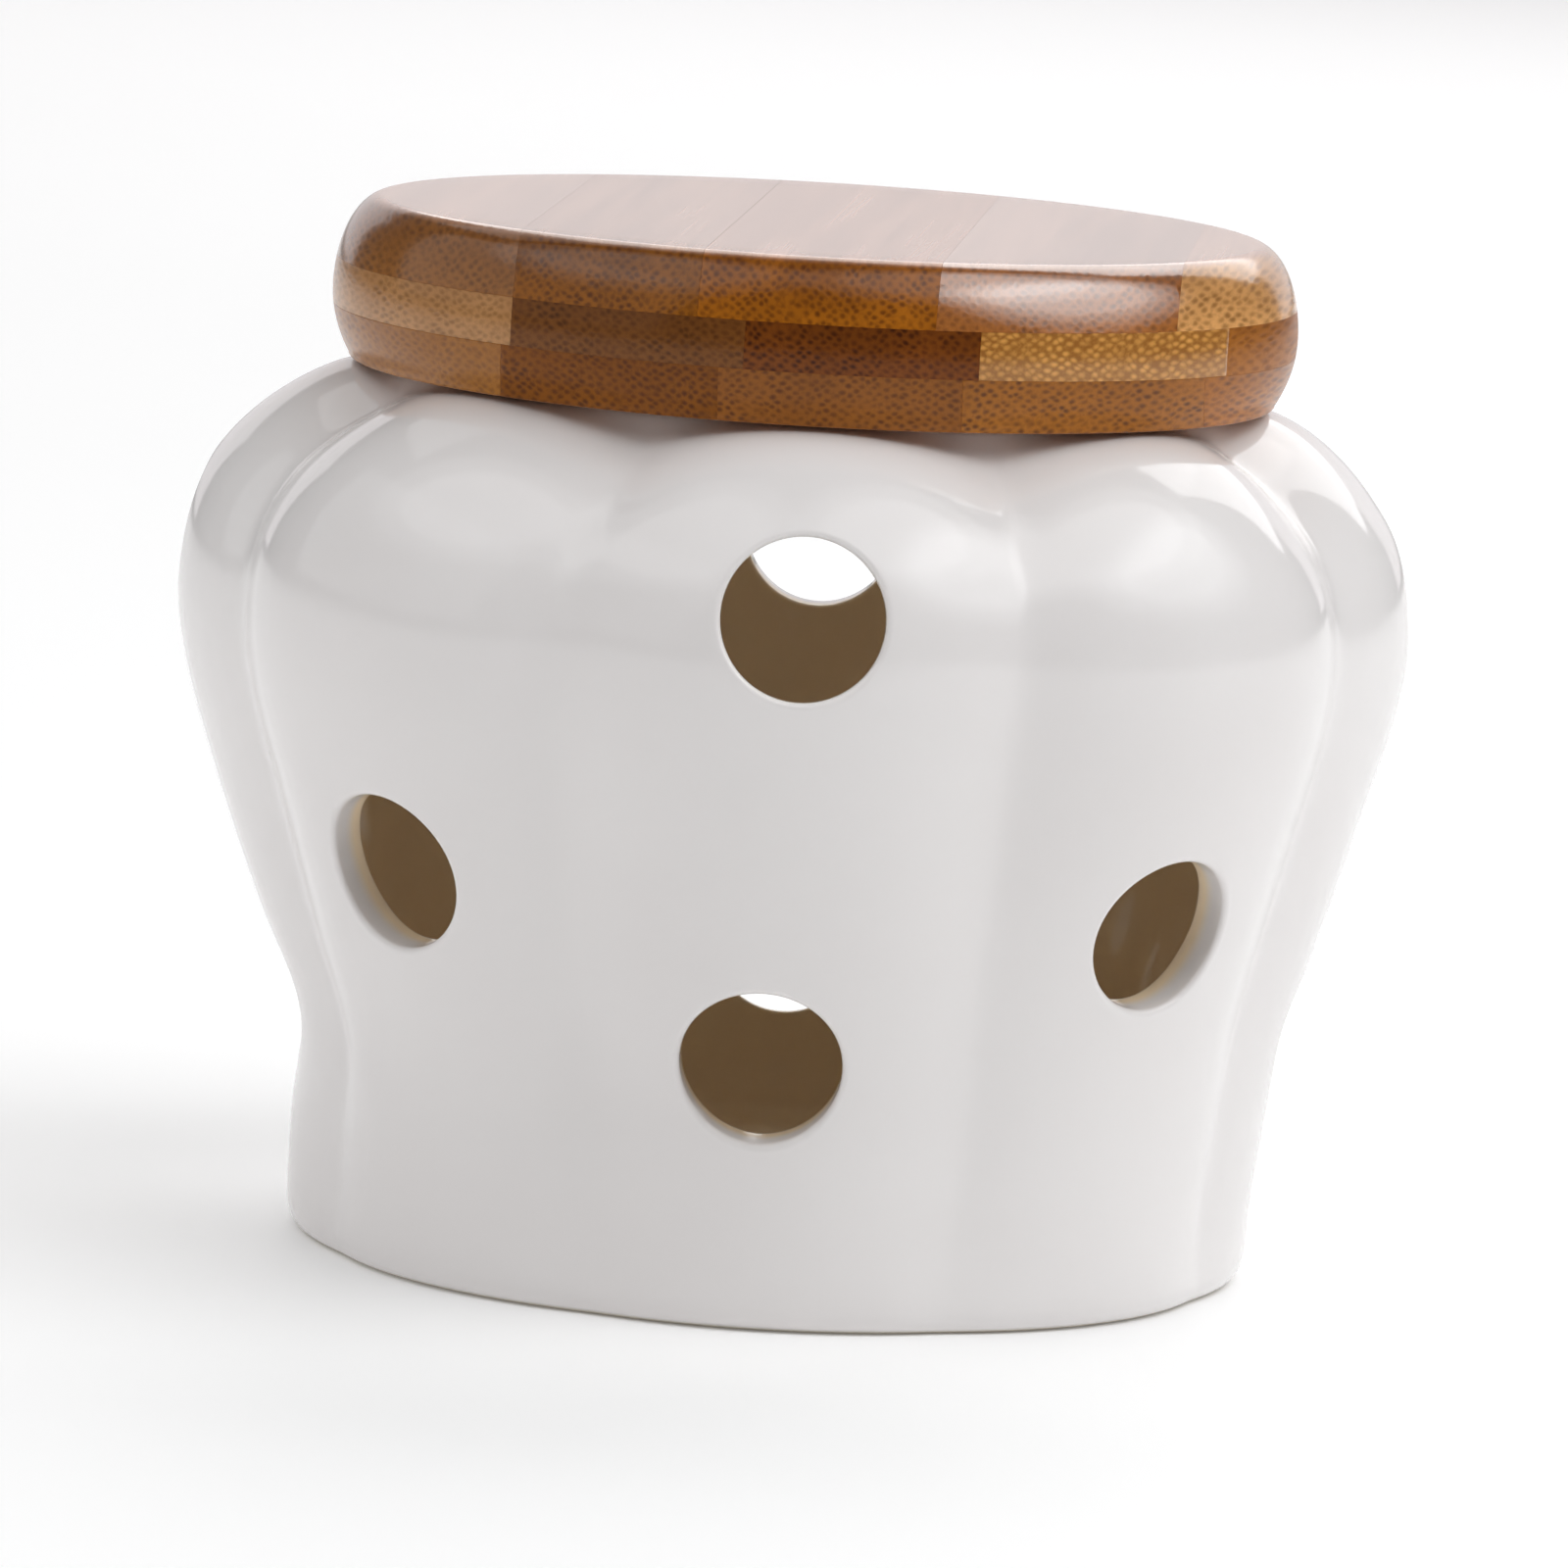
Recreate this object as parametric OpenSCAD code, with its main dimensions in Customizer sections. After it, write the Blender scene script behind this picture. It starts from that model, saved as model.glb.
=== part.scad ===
// Garlic keeper: a lobed ceramic pot with punched vent holes under a
// three-ply bamboo lid that lifts off. Millimetres, +Z up, origin at the
// centre of the foot on the table, one lobe centred on -Y (the front).

/* [Pot] */
// Widest diameter, measured over the lobe crests
pot_d = 130; // [110:1:150]
// Height of the pot's rim above the table
pot_h = 92.6; // [80:0.2:105]
// Number of lobes round the body
lobes = 8; // [8:2:12]
// Depth of the grooves between the lobes where the body is widest
groove_depth = 3.7; // [1.5:0.1:4.2]
// Wall thickness of the fired body
wall = 4; // [3.5:0.1:5]
// Thickness of the floor above the recess in the foot
floor_t = 4.6; // [3.5:0.1:7]
// Radius of the round mouth
mouth_r = 38.5; // [34:0.5:39]
// Radius of the rounding on the inside edge of the mouth
mouth_lip = 1.3; // [0.6:0.1:1.6]
// How far the foot stands to the right of the shoulder
foot_shift = 1.0; // [0:0.1:1.5]
// How much further the waist leans the same way
waist_shift = 0.95; // [0:0.05:1.2]
// How far the mouth stands to the right of the shoulder
rim_shift = 0.5; // [0:0.1:1]

/* [Foot] */
// Radius of the recess inside the foot ring
foot_recess_r = 43; // [36:0.5:44]
// Depth of that recess
foot_recess_h = 1.4; // [0.8:0.1:2]

/* [Vents] */
// Diameter of the punched vent holes
vent_d = 16.6; // [10:0.2:17.4]
// Height of the single hole on every second lobe
vent_single_z = 43; // [40:0.5:48]
// Height of the upper hole on the other lobes
vent_upper_z = 72.5; // [68:0.5:75]
// Height of the lower hole on the other lobes
vent_lower_z = 26.5; // [23:0.5:30]
// How far the vents lean from level towards square with the wall
vent_lean = 0.5; // [0:0.1:1]

/* [Lid] */
// Largest diameter of the lid, at the swell of its edge
lid_d = 101.5; // [96:0.5:108]
// Height of the swell above the lid's underside
lid_swell_z = 7.3; // [6:0.1:9]
// How far the edge falls back from the swell to the underside
lid_low = 2.25; // [1:0.05:3]
// How far the edge rolls over from the swell to the flat top
lid_roll = 5; // [2:0.1:7]
// Thickness of the top ply
ply_top = 6.5; // [5:0.1:8]
// Thickness of the middle ply
ply_middle = 4.9; // [4:0.1:6.5]
// Thickness of the bottom ply
ply_bottom = 5.6; // [4.5:0.1:7]
// Angle of the strips to the front-to-back line
strip_angle = 4.5; // [0:0.5:10]

/* [Plug and seal] */
// Radius of the locating disc under the lid
plug_r = 36.6; // [32:0.1:36.8]
// Depth of the locating disc
plug_h = 7; // [6.5:0.1:8]
// Depth of the groove cut round it for the seal
seal_groove = 2.2; // [1.5:0.1:3]
// Height of the seal
seal_h = 3.6; // [3:0.1:4]
// Clearance between the tips of the seal and the mouth
seal_gap = 0.35; // [0.2:0.05:0.6]
// Running clearance between the seal and its groove
seal_run = 0.06; // [0.02:0.01:0.1]

/* [Hidden] */

sr = pot_d / 130;    // radial scale of the profile
sz = pot_h / 92.6;   // vertical scale of the profile
lift = 0.1;          // gap under the lid where it rests on the rim
lid_z = pot_h + lift;
lid_h = ply_bottom + ply_middle + ply_top;

// Side profile over a lobe crest, from the foot to the rim:
// [radius, height, share of the groove depth].
crest = [
    [48.6, 0.0, 0.20], [50.1, 0.7, 0.25], [50.85, 2.4, 0.35], [51.05, 8, 0.48],
    [51.35, 14, 0.54], [51.55, 20, 0.58], [52.95, 26.5, 0.63], [55.75, 34.5, 0.73],
    [58.3, 42, 0.82], [60.85, 50, 0.90], [63.3, 58, 0.95], [64.6, 64, 0.98],
    [65.0, 69, 1.00], [64.6, 74, 1.00], [63.5, 78, 1.00], [61.4, 82, 1.00],
    [58.0, 86.1, 0.99], [53.8, 89.5, 0.98], [49.5, 91.75, 0.92], [46.0, 92.5, 0.60],
    [43.5, 92.6, 0.0]];
outer_knots = [for (k = crest) [k[0] * sr, k[1] * sz, k[2] * groove_depth]];

// The cavity follows the same profile one wall inside it and closes
// towards the mouth under the shoulder.
cavity = [
    [38.0, 0.0, 0.0], [42.0, 0.3, 0.1], [45.0, 1.8, 0.2], [46.4, 4.6, 0.3],
    [47.1, 10, 0.45], [47.6, 16, 0.5], [49.3, 23.0, 0.55], [52.1, 31.5, 0.64],
    [54.9, 39, 0.73], [57.4, 46.5, 0.80], [59.5, 54.5, 0.85], [60.8, 61.5, 0.88],
    [60.9, 66, 0.88], [60.0, 70.5, 0.86], [57.6, 74.8, 0.80], [53.6, 78.3, 0.66],
    [48.6, 80.8, 0.40], [43.6, 82.0, 0.12], [40.0, 82.2, 0.0]];
cavity_z = foot_recess_h + floor_t;
inner_knots = [for (k = cavity)
    [(k[0] + 4 - wall) * sr, cavity_z + k[1] * (pot_h - cavity_z) / 86.6, k[2] * groove_depth]];

// ---- smooth curve through the knots ----
function dist2(a, b) = norm([a[0] - b[0], a[1] - b[1]]);
function slope(K, i) = let (n = len(K), a = max(0, i - 1), b = min(n - 1, i + 1),
    L = (i > a ? dist2(K[i], K[a]) : 0) + (b > i ? dist2(K[b], K[i]) : 0)) (K[b] - K[a]) / L;
function on_curve(K, i, f) = let (h = dist2(K[i], K[i + 1]))
    (2 * f * f * f - 3 * f * f + 1) * K[i] + (f * f * f - 2 * f * f + f) * h * slope(K, i)
    + (3 * f * f - 2 * f * f * f) * K[i + 1] + (f * f * f - f * f) * h * slope(K, i + 1);
function curve_dir(K, i, f) = let (h = dist2(K[i], K[i + 1]))
    ((6 * f * f - 6 * f) * (K[i] - K[i + 1])
    + (3 * f * f - 4 * f + 1) * h * slope(K, i) + (3 * f * f - 2 * f) * h * slope(K, i + 1)) / h;
// stations along the curve, no further apart than step
function stations(K, step) = [for (i = [0:len(K) - 2]) let (n = ceil(dist2(K[i], K[i + 1]) / step))
    for (j = [0:n - 1]) [i, j / n], [len(K) - 2, 1]];

// ---- lobes ----
// 0 on a crest, 1 in a groove, with a softly rounded bottom to the groove
lobe_soft = 0.08;
function groove(a) = let (h = 180 / lobes,
    p = abs((a + h) - floor((a + h) / (2 * h)) * 2 * h - h) / h,
    q = (sqrt((1 - p) * (1 - p) + lobe_soft * lobe_soft) - lobe_soft) / (sqrt(1 + lobe_soft * lobe_soft) - lobe_soft))
    (1 - q) * (1 - q);
// The body isn't quite true: its lower half sits a little to the right, and
// each groove wanders a few degrees near the foot and on the shoulder.
function smooth(t) = let (c = min(1, max(0, t))) c * c * (3 - 2 * c);
function sway(z) = foot_shift * (1 - smooth((z / sz - 25) / 40)) + waist_shift * exp(-pow((z / sz - 21.5) / 8.5, 2))
    - rim_shift * (1 - smooth((z / sz - 82) / 9));
wander_low = [-0.3, -0.8, 0.6, -0.9, 0.5, -0.6, 2.5, 1.6];
wander_top = [1.0, -0.4, 0.5, -0.7, 0.8, 0.3, 0.0, 2.0];
function wander(a, z) = let (h = 180 / lobes, k = floor(a / (2 * h)), w = 1 - abs(a - (2 * k + 1) * h) / h)
    w * (wander_low[k % 8] * (1 - smooth((z / sz - 4) / 18)) + wander_top[k % 8] * smooth((z / sz - 76) / 10));
// one point of the lobed surface, set back along the curve's normal
function lobed(K, s, a) = let (p = on_curve(K, s[0], s[1]), t = curve_dir(K, s[0], s[1]),
    L = norm([t[0], t[1]]), flat = s[0] < 2, nr = flat ? 1 : t[1] / L, nz = flat ? 0 : -t[0] / L,
    g = groove(a) * p[2], r = p[0] - nr * g, z = p[1] - nz * g, b = a + wander(a, z))
    [r * sin(b) + sway(z), -r * cos(b), z];

module lobed_solid(K, step, sides) {
    S = stations(K, step);
    n = len(S);
    pts = [for (s = S) for (j = [0:sides - 1]) lobed(K, s, j * 360 / sides)];
    quads = [for (i = [0:n - 2]) for (j = [0:sides - 1]) let (k = (j + 1) % sides,
        a = i * sides + j, b = i * sides + k, c = (i + 1) * sides + k, d = (i + 1) * sides + j)
        each [[a, d, c], [a, c, b]]];
    polyhedron(pts, concat(quads, [[for (j = [0:sides - 1]) j],
        [for (j = [sides - 1:-1:0]) (n - 1) * sides + j]]), convexity = 8);
}

// ---- vent holes ----
// Radius of the crest at height z, and how far it leans out over the foot there
function crest_at(z, i = 0) = (i >= len(crest) - 2 || outer_knots[i + 1][1] >= z) ? i : crest_at(z, i + 1);
function crest_r(z) = let (i = crest_at(z), a = outer_knots[i], b = outer_knots[i + 1])
    a[0] + (b[0] - a[0]) * (z - a[1]) / (b[1] - a[1]);
function crest_lean(z) = atan((crest_r(z + 2) - crest_r(z - 2)) / 4);
// [lobe number from the front, sideways drift in degrees, height]:
// the holes are punched by hand, so each one drifts a little
vents = [
    [0, 1.0, vent_upper_z + 2.5], [0, -2.3, vent_lower_z + 1.2],
    [1, -2.3, vent_single_z - 1.0], [2, 2.5, vent_upper_z - 0.5],
    [2, 2.2, vent_lower_z + 0.5], [3, 2.2, vent_single_z + 2.0],
    [4, -2.4, vent_upper_z - 2.5], [4, 0.4, vent_lower_z - 1.0],
    [5, -3.0, vent_single_z + 3.0], [6, -2.5, vent_upper_z + 1.0],
    [6, -2.2, vent_lower_z], [7, 1.8, vent_single_z + 1.0]];
module vent(lobe, drift, z) {
    translate([sway(z), 0, 0]) rotate([0, 0, lobe * 360 / 8 + drift])
        translate([0, -crest_r(z), z])
            rotate([90 + vent_lean * crest_lean(z), 0, 0])
                translate([0, 0, -12]) cylinder(d = vent_d, h = 24, $fn = 64);
}

module mouth() {
    n = 6;
    top = [for (i = [0:n]) let (a = 90 * i / n)
        [mouth_r + mouth_lip - mouth_lip * sin(a), pot_h - mouth_lip + mouth_lip * cos(a)]];
    low = [for (i = [0:n]) let (a = 90 * i / n, zb = cavity_z + 82.2 * (pot_h - cavity_z) / 86.6)
        [mouth_r + 1.2 - 1.2 * cos(a), zb + 1.2 - 1.2 * sin(a)]];
    rotate_extrude($fn = 128)
        polygon(concat([[0, 60 * sz]], [[mouth_r + 1.2, 60 * sz]], [for (i = [n:-1:0]) low[i]],
            [for (i = [n:-1:0]) top[i]], [[mouth_r + mouth_lip, pot_h + 5], [0, pot_h + 5]]));
}

module foot_recess() {
    translate([sway(0), 0, 0]) rotate_extrude($fn = 128) polygon([[0, -1], [foot_recess_r + 0.6, -1], [foot_recess_r + 0.3, 0],
        [foot_recess_r, foot_recess_h * 0.3], [foot_recess_r - 1.2, foot_recess_h], [0, foot_recess_h]]);
}

module pot() {
    color([0.94, 0.93, 0.92]) difference() {
        lobed_solid(outer_knots, 4.3, lobes * 10);
        lobed_solid(inner_knots, 6, lobes * 6);
        mouth();
        foot_recess();
        for (v = vents) vent(v[0], v[1], v[2]);
    }
}

// ---- lid ----
// Radius of the lid's edge at a height z above its underside
lid_roll_h = lid_h - lid_swell_z;
function lid_r(z) = lid_d / 2 - (z < lid_swell_z
    ? lid_low * pow((lid_swell_z - z) / lid_swell_z, 2)
    : lid_roll * (1 - sqrt(max(0, 1 - pow((z - lid_swell_z) / lid_roll_h, 2)))));
function lid_edge(z0, z1, n) = [for (i = [0:n]) let (z = z0 + (z1 - z0) * i / n) [lid_r(z), lid_z + z]];
// the roll from a height z over to the flat top
function lid_over(z, n) = let (a0 = asin((z - lid_swell_z) / lid_roll_h)) [for (i = [0:n])
    let (a = a0 + (90 - a0) * i / n) [lid_d / 2 - lid_roll * (1 - cos(a)), lid_z + lid_swell_z + lid_roll_h * sin(a)]];

module strip(z0, z1, edge, x0, x1) {
    intersection() {
        rotate_extrude($fn = 160) polygon(concat([[0, z0]], edge, [[0, z1]]));
        rotate([0, 0, -strip_angle]) translate([x0, -lid_d, z0 - 5]) cube([x1 - x0, 2 * lid_d, z1 - z0 + 10]);
    }
}
hm = ply_bottom + ply_middle;
zb = lid_z + ply_bottom;
zm = zb + ply_middle;
zt = lid_z + lid_h;
// glue lines of each ply, staggered from ply to ply
cuts_bottom = [-60, -28.5, -5.5, 19, 42.5, 60];
cuts_middle = [-60, -27.5, -3, 20.5, 44.5, 60];
cuts_top = [-60, -27.5, -8, 16, 39.5, 60];
module bottom_strip(i) strip(lid_z, zb, lid_edge(0, ply_bottom, 7), cuts_bottom[i - 1], cuts_bottom[i]);
module middle_strip(i) strip(zb, zm, lid_edge(ply_bottom, hm, 6), cuts_middle[i - 1], cuts_middle[i]);
module top_strip(i) strip(zm, zt, lid_over(hm, 9), cuts_top[i - 1], cuts_top[i]);

module lid_bottom_strip_1() { color([0.62, 0.42, 0.24]) bottom_strip(1); }
module lid_bottom_strip_2() { color([0.52, 0.32, 0.16]) bottom_strip(2); }
module lid_bottom_strip_3() { color([0.58, 0.37, 0.19]) bottom_strip(3); }
module lid_bottom_strip_4() { color([0.53, 0.31, 0.15]) bottom_strip(4); }
module lid_bottom_strip_5() { color([0.55, 0.34, 0.18]) bottom_strip(5); }
module lid_middle_strip_1() { color([0.66, 0.45, 0.25]) middle_strip(1); }
module lid_middle_strip_2() { color([0.47, 0.31, 0.18]) middle_strip(2); }
module lid_middle_strip_3() { color([0.38, 0.22, 0.10]) middle_strip(3); }
module lid_middle_strip_4() { color([0.70, 0.50, 0.22]) middle_strip(4); }
module lid_middle_strip_5() { color([0.56, 0.36, 0.17]) middle_strip(5); }
module lid_top_strip_1() { color([0.48, 0.31, 0.20]) top_strip(1); }
module lid_top_strip_2() { color([0.50, 0.34, 0.22]) top_strip(2); }
module lid_top_strip_3() { color([0.60, 0.36, 0.14]) top_strip(3); }
module lid_top_strip_4() { color([0.52, 0.33, 0.18]) top_strip(4); }
module lid_top_strip_5() { color([0.66, 0.44, 0.18]) top_strip(5); }

// ---- plug and seal ----
plug_top = lid_z;
plug_low = lid_z - plug_h;
seat_hi = plug_top - 1.2;                       // upper wall of the seal's groove
seat_lo = seat_hi - seal_h - 2 * seal_run;      // lower wall of the seal's groove
module lid_plug() {
    color([0.72, 0.54, 0.30]) rotate_extrude($fn = 128) polygon([
        [0, plug_low], [plug_r - 0.8, plug_low], [plug_r, plug_low + 0.8], [plug_r, seat_lo],
        [plug_r - seal_groove, seat_lo], [plug_r - seal_groove, seat_hi], [plug_r, seat_hi],
        [plug_r, plug_top], [0, plug_top]]);
}
// A band that fills the groove, with three fins that reach for the mouth
module seal_ring() {
    r0 = plug_r - seal_groove + seal_run;
    r1 = plug_r + 0.2;
    r2 = mouth_r - seal_gap;
    z0 = seat_lo + seal_run;
    p = seal_h / 3;
    color([0.93, 0.93, 0.90]) rotate_extrude($fn = 128) polygon(concat([[r0, z0]],
        [for (i = [0:2]) each [[r1, z0 + p * i], [r1, z0 + p * i + p * 0.12], [r2, z0 + p * i + p * 0.42],
            [r2, z0 + p * i + p * 0.60], [r1, z0 + p * i + p * 0.88]]],
        [[r1, z0 + seal_h], [r0, z0 + seal_h]]));
}

pot();
seal_ring();
lid_plug();
lid_bottom_strip_1();
lid_bottom_strip_2();
lid_bottom_strip_3();
lid_bottom_strip_4();
lid_bottom_strip_5();
lid_middle_strip_1();
lid_middle_strip_2();
lid_middle_strip_3();
lid_middle_strip_4();
lid_middle_strip_5();
lid_top_strip_1();
lid_top_strip_2();
lid_top_strip_3();
lid_top_strip_4();
lid_top_strip_5();
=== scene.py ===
import math
import bpy
import bmesh
import numpy as np
from mathutils import Matrix, Vector


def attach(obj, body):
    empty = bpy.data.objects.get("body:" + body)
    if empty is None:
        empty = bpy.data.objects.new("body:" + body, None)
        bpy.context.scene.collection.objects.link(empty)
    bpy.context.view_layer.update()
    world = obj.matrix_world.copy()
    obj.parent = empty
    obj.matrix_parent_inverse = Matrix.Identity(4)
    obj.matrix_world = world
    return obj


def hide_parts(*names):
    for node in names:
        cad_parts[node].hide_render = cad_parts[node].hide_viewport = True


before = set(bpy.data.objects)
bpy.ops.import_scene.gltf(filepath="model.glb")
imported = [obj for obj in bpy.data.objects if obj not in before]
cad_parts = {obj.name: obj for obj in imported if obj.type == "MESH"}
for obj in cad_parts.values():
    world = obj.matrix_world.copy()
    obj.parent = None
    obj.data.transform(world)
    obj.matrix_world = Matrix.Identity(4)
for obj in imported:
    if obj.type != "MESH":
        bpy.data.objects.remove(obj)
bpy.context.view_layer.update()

MM = 0.001

# ---------------------------------------------------------------------------
# camera: the photograph's viewing angle
# ---------------------------------------------------------------------------
CAM_AT = Vector((-0.0005, -1.150, 0.20772))
CAM_TO = Vector((-0.00035, 0.0, 0.0496))
CAM_ROLL = math.radians(3.4)
CAM_F = 11205.2 / 1600.0


def make_camera():
    data = bpy.data.cameras.new("camera")
    data.sensor_width = 36.0
    data.sensor_fit = "HORIZONTAL"
    data.lens = CAM_F * 36.0
    data.clip_start = 0.02
    data.clip_end = 60.0
    data.dof.use_dof = False
    cam = bpy.data.objects.new("camera", data)
    bpy.context.scene.collection.objects.link(cam)
    fwd = (CAM_TO - CAM_AT).normalized()
    right = fwd.cross(Vector((0, 0, 1))).normalized()
    up = right.cross(fwd)
    c, s = math.cos(CAM_ROLL), math.sin(CAM_ROLL)
    r2 = right * c + up * s
    u2 = up * c - right * s
    m = Matrix((
        (r2.x, u2.x, -fwd.x, CAM_AT.x),
        (r2.y, u2.y, -fwd.y, CAM_AT.y),
        (r2.z, u2.z, -fwd.z, CAM_AT.z),
        (0, 0, 0, 1)))
    cam.matrix_world = m
    bpy.context.scene.camera = cam
    return cam


make_camera()

# ---------------------------------------------------------------------------
# dimensions, in millimetres, as in the construction
# ---------------------------------------------------------------------------
GROOVE = 3.7
WALL_Z = 6.0
POT_H = 92.6
CREST = np.array([
    [48.6, 0.0, 0.20], [50.1, 0.7, 0.25], [50.85, 2.4, 0.35], [51.05, 8, 0.48],
    [51.35, 14, 0.54], [51.55, 20, 0.58], [52.95, 26.5, 0.63], [55.75, 34.5, 0.73],
    [58.3, 42, 0.82], [60.85, 50, 0.90], [63.3, 58, 0.95], [64.6, 64, 0.98],
    [65.0, 69, 1.00], [64.6, 74, 1.00], [63.5, 78, 1.00], [61.4, 82, 1.00],
    [58.0, 86.1, 0.99], [53.8, 89.5, 0.98], [49.5, 91.75, 0.92], [46.0, 92.5, 0.60],
    [43.5, 92.6, 0.0]])
CAVITY = np.array([
    [38.0, 0.0, 0.0], [42.0, 0.3, 0.1], [45.0, 1.8, 0.2], [46.4, 4.6, 0.3],
    [47.1, 10, 0.45], [47.6, 16, 0.5], [49.3, 23.0, 0.55], [52.1, 31.5, 0.64],
    [54.9, 39, 0.73], [57.4, 46.5, 0.80], [59.5, 54.5, 0.85], [60.8, 61.5, 0.88],
    [60.9, 66, 0.88], [60.0, 70.5, 0.86], [57.6, 74.8, 0.80], [53.6, 78.3, 0.66],
    [48.6, 80.8, 0.40], [43.6, 82.0, 0.12], [40.0, 82.2, 0.0]])
OUTER = CREST * [1, 1, GROOVE]
INNER = CAVITY * [1, 1, GROOVE] + [0, WALL_Z, 0]
MOUTH_R, MOUTH_LIP = 38.5, 1.3
RECESS_R, RECESS_H = 43.0, 1.4
VENT_R = 8.3
VENT_LEAN = 0.5
SINGLE_Z, UPPER_Z, LOWER_Z = 43.0, 72.5, 26.5
VENTS = [
    (0, 1.0, UPPER_Z + 2.5), (0, -2.3, LOWER_Z + 1.2),
    (1, -2.3, SINGLE_Z - 1.0), (2, 2.5, UPPER_Z - 0.5),
    (2, 2.2, LOWER_Z + 0.5), (3, 2.2, SINGLE_Z + 2.0),
    (4, -2.4, UPPER_Z - 2.5), (4, 0.4, LOWER_Z - 1.0),
    (5, -3.0, SINGLE_Z + 3.0), (6, -2.5, UPPER_Z + 1.0),
    (6, -2.2, LOWER_Z), (7, 1.8, SINGLE_Z + 1.0)]
FOOT_SHIFT, WAIST_SHIFT, RIM_SHIFT = 1.0, 0.95, 0.5
WANDER_LOW = np.array([-0.3, -0.8, 0.6, -0.9, 0.5, -0.6, 2.5, 1.6])
WANDER_TOP = np.array([1.0, -0.4, 0.5, -0.7, 0.8, 0.3, 0.0, 2.0])

LID_Z = 92.7
PLY_BOTTOM, PLY_MIDDLE, PLY_TOP = 5.6, 4.9, 6.5
LID_H = PLY_BOTTOM + PLY_MIDDLE + PLY_TOP
LID_R, LID_SWELL_Z, LID_LOW, LID_ROLL = 50.75, 7.3, 2.25, 5.0
STRIP_ANGLE = math.radians(4.5)
CUTS = {
    "bottom": [-60, -28.5, -5.5, 19, 42.5, 60],
    "middle": [-60, -27.5, -3, 20.5, 44.5, 60],
    "top": [-60, -27.5, -8, 16, 39.5, 60]}
PLUG_R, PLUG_H, SEAL_GROOVE, SEAL_H, SEAL_GAP, SEAL_RUN = 36.6, 7.0, 2.2, 3.6, 0.35, 0.06


# ---------------------------------------------------------------------------
# the lobed surface
# ---------------------------------------------------------------------------
class Curve:
    """Smooth curve through knots of (radius, height, groove depth)."""

    def __init__(self, knots):
        self.k = np.asarray(knots, float)
        d = np.diff(self.k, axis=0)
        self.h = np.hypot(d[:, 0], d[:, 1])
        n = len(self.k)
        m = np.zeros_like(self.k)
        for i in range(n):
            a, b = max(0, i - 1), min(n - 1, i + 1)
            m[i] = (self.k[b] - self.k[a]) / self.h[a:b].sum()
        self.m = m
        self.n = n

    def at(self, u):
        u = np.asarray(u, float)
        i = np.clip(np.floor(u).astype(int), 0, self.n - 2)
        f = (u - i)[..., None]
        h = self.h[i][..., None]
        p0, p1, m0, m1 = self.k[i], self.k[i + 1], self.m[i], self.m[i + 1]
        p = ((2 * f**3 - 3 * f**2 + 1) * p0 + (f**3 - 2 * f**2 + f) * h * m0
             + (-2 * f**3 + 3 * f**2) * p1 + (f**3 - f**2) * h * m1)
        t = ((6 * f**2 - 6 * f) * (p0 - p1) + (3 * f**2 - 4 * f + 1) * h * m0
             + (3 * f**2 - 2 * f) * h * m1) / h
        return p, t

    def stations(self, step):
        out = []
        for i in range(self.n - 1):
            c = max(1, math.ceil(self.h[i] / step))
            out += [i + j / c for j in range(c)]
        return np.array(out + [self.n - 1.0])


C_OUT = Curve(OUTER)
C_IN = Curve(INNER)
SOFT = 0.08


def groove(phi):
    """0 on a lobe's crest, 1 in a groove; phi in degrees from the front."""
    p = np.abs(np.mod(phi + 22.5, 45.0) - 22.5) / 22.5
    q = (np.sqrt((1 - p) ** 2 + SOFT**2) - SOFT) / (math.sqrt(1 + SOFT**2) - SOFT)
    return (1 - q) ** 2


def ease(t):
    t = np.clip(t, 0, 1)
    return t * t * (3 - 2 * t)


def sway(z):
    """How far the body leans to +X at a height."""
    return (FOOT_SHIFT * (1 - ease((z - 25) / 40)) + WAIST_SHIFT * np.exp(-((z - 21.5) / 8.5) ** 2)
            - RIM_SHIFT * (1 - ease((z - 82) / 9)))


def wander(phi, z):
    """How far a groove strays, in degrees."""
    p = np.mod(phi, 360.0)
    k = np.minimum(np.floor(p / 45.0).astype(int), 7)
    w = 1 - np.abs(p - (2 * k + 1) * 22.5) / 22.5
    return w * (WANDER_LOW[k] * (1 - ease((z - 4) / 18)) + WANDER_TOP[k] * ease((z - 76) / 10))


def waver(phi, z):
    """The small unevenness of a hand-finished body, in millimetres."""
    a = np.radians(phi)
    return (0.10 * np.sin(3 * a + 0.06 * z + 0.7) + 0.07 * np.sin(5 * a - 0.11 * z + 2.1)
            + 0.05 * np.sin(11 * a + 0.17 * z + 4.0))


def surface(curve, u, phi, uneven=0.0):
    """Points of the lobed surface, in millimetres."""
    p, t = curve.at(u)
    ln = np.hypot(t[..., 0], t[..., 1])
    nr, nz = t[..., 1] / ln, -t[..., 0] / ln
    w = np.clip((np.asarray(u, float) - 1.0) / 1.5, 0, 1)
    w = w * w * (3 - 2 * w)
    nr = 1 + (nr - 1) * w
    nz = nz * w
    g = groove(phi) * p[..., 2]
    if uneven:
        fade = np.clip(p[..., 1] / 6.0, 0, 1) * np.clip((POT_H - p[..., 1]) / 6.0, 0, 1)
        g = g - uneven * waver(phi, p[..., 1]) * fade
    r = p[..., 0] - nr * g
    z = p[..., 1] - nz * g
    a = np.radians(phi + wander(phi, z))
    return np.stack([r * np.sin(a) + sway(z), -r * np.cos(a), z], -1)


def crest_r(z):
    return float(np.interp(z, CREST[:, 1], CREST[:, 0]))


def crest_lean(z):
    return math.atan((crest_r(z + 2) - crest_r(z - 2)) / 4)


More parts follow.
